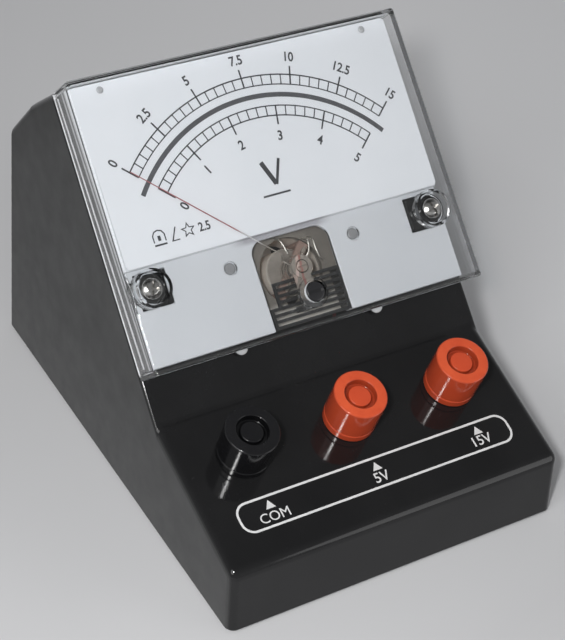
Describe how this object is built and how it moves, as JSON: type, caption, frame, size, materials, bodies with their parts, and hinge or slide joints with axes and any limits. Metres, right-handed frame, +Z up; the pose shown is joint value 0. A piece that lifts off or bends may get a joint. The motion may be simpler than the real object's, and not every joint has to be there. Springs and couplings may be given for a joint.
{
  "type": "millivoltmeter",
  "caption": "Wedge-shaped desk meter: sloped dial with a swinging pointer under a clear cover, and a low panel of screw terminals for measuring voltage.",
  "frame": {"origin": "centre of the footprint, on the surface the feet stand on", "axes": "+Z up, +Y from the terminal panel towards the back, +X to the right of someone reading the dial"},
  "size_m": [0.098, 0.1322, 0.1013],
  "materials": {
    "black_case": "gloss",
    "black_matte": "satin",
    "clear_cover": "polished",
    "white_tray": "satin",
    "dial_white": "matte",
    "red_cap": "gloss",
    "bright_screw": "polished",
    "steel": "satin",
    "brass": "satin",
    "bronze_plate": "satin",
    "copper_coil": "satin",
    "magnet": "matte",
    "pointer_red": "satin",
    "aluminium": "satin",
    "foot_rubber": "matte",
    "resistor_body": "satin",
    "lead_red": "satin",
    "lead_black": "satin"
  },
  "bodies": {
    "frame": {"case_shell": "black_case", "base_plate": "black_matte", "base_screw_front_left": "steel", "base_screw_front_right": "steel", "base_screw_rear_left": "steel", "base_screw_rear_right": "steel", "foot_front_left": "foot_rubber", "foot_front_right": "foot_rubber", "foot_rear_left": "foot_rubber", "foot_rear_right": "foot_rubber", "clear_cover": "clear_cover", "cover_screw_left": "bright_screw", "cover_screw_right": "bright_screw", "movement_tray": "white_tray", "window_louvre": "black_matte", "dial_plate": "dial_white", "dial_pin_left": "steel", "dial_pin_right": "steel", "mask_screw_left": "steel", "mask_screw_right": "steel", "movement_plate": "bronze_plate", "yoke_ring": "steel", "core_magnet": "magnet", "core_strap": "aluminium", "upper_bridge": "brass", "lower_bridge": "brass", "upper_jewel": "brass", "lower_jewel": "brass", "terminal_collar_com": "black_matte", "terminal_collar_5v": "red_cap", "terminal_collar_15v": "red_cap", "terminal_stud_com": "brass", "terminal_stud_5v": "brass", "terminal_stud_15v": "brass", "terminal_nut_com": "brass", "terminal_nut_5v": "brass", "terminal_nut_15v": "brass", "solder_tag_com": "steel", "solder_tag_5v": "steel", "solder_tag_15v": "steel", "multiplier_resistor_5v": "resistor_body", "multiplier_resistor_15v": "resistor_body", "meter_lead_plus": "lead_red", "meter_lead_minus": "lead_black"},
    "moving_element": {"moving_coil": "copper_coil", "upper_staff": "steel", "lower_staff": "steel", "pointer": "pointer_red", "balance_cross": "brass", "upper_hairspring": "brass", "lower_hairspring": "brass"},
    "zero_lever": {"zero_lever": "aluminium"},
    "zero_screw": {"zero_screw": "black_matte"},
    "washer_com": {"clamp_washer_com": "brass"},
    "washer_5v": {"clamp_washer_5v": "brass"},
    "washer_15v": {"clamp_washer_15v": "brass"},
    "cap_com": {"terminal_cap_com": "black_matte"},
    "cap_5v": {"terminal_cap_5v": "red_cap"},
    "cap_15v": {"terminal_cap_15v": "red_cap"}
  },
  "joints": [
    {"name": "pointer_swing", "type": "hinge", "parent": "frame", "child": "moving_element", "pos_m": [0, -0.00379, 0.05244], "axis": [0, 0.6984, -0.7157], "range_deg": [-2.5, 98], "stiffness_Nm_per_rad": 0.00001},
    {"name": "zero_adjust", "type": "hinge", "parent": "frame", "child": "zero_screw", "pos_m": [0, -0.00899, 0.04736], "axis": [0, -0.6984, 0.7157], "range_deg": [-60, 60]},
    {"name": "zero_lever_swing", "type": "hinge", "parent": "frame", "child": "zero_lever", "pos_m": [0, -0.00379, 0.05244], "axis": [0, -0.6984, 0.7157], "range_deg": [-7.5, 7.5]},
    {"name": "lift_com", "type": "slide", "parent": "frame", "child": "washer_com", "axis": [0, -0.3176, 0.9482], "range_m": [0, 0.0028]},
    {"name": "spin_com", "type": "hinge", "parent": "washer_com", "child": "cap_com", "pos_m": [-0.031, -0.03721, 0.02867], "axis": [0, -0.3176, 0.9482], "range_deg": [0, 1440]},
    {"name": "lift_5v", "type": "slide", "parent": "frame", "child": "washer_5v", "axis": [0, -0.3176, 0.9482], "range_m": [0, 0.0028]},
    {"name": "spin_5v", "type": "hinge", "parent": "washer_5v", "child": "cap_5v", "pos_m": [0, -0.03721, 0.02867], "axis": [0, -0.3176, 0.9482], "range_deg": [0, 1440]},
    {"name": "lift_15v", "type": "slide", "parent": "frame", "child": "washer_15v", "axis": [0, -0.3176, 0.9482], "range_m": [0, 0.0028]},
    {"name": "spin_15v", "type": "hinge", "parent": "washer_15v", "child": "cap_15v", "pos_m": [0.031, -0.03721, 0.02867], "axis": [0, -0.3176, 0.9482], "range_deg": [0, 1440]}
  ],
  "couplings": [
    {"joint": "zero_lever_swing", "follows": "zero_adjust", "ratio": -0.116},
    {"joint": "spin_com", "follows": "lift_com", "rad_per_m": 8975.9},
    {"joint": "spin_5v", "follows": "lift_5v", "rad_per_m": 8975.9},
    {"joint": "spin_15v", "follows": "lift_15v", "rad_per_m": 8975.9}
  ]
}
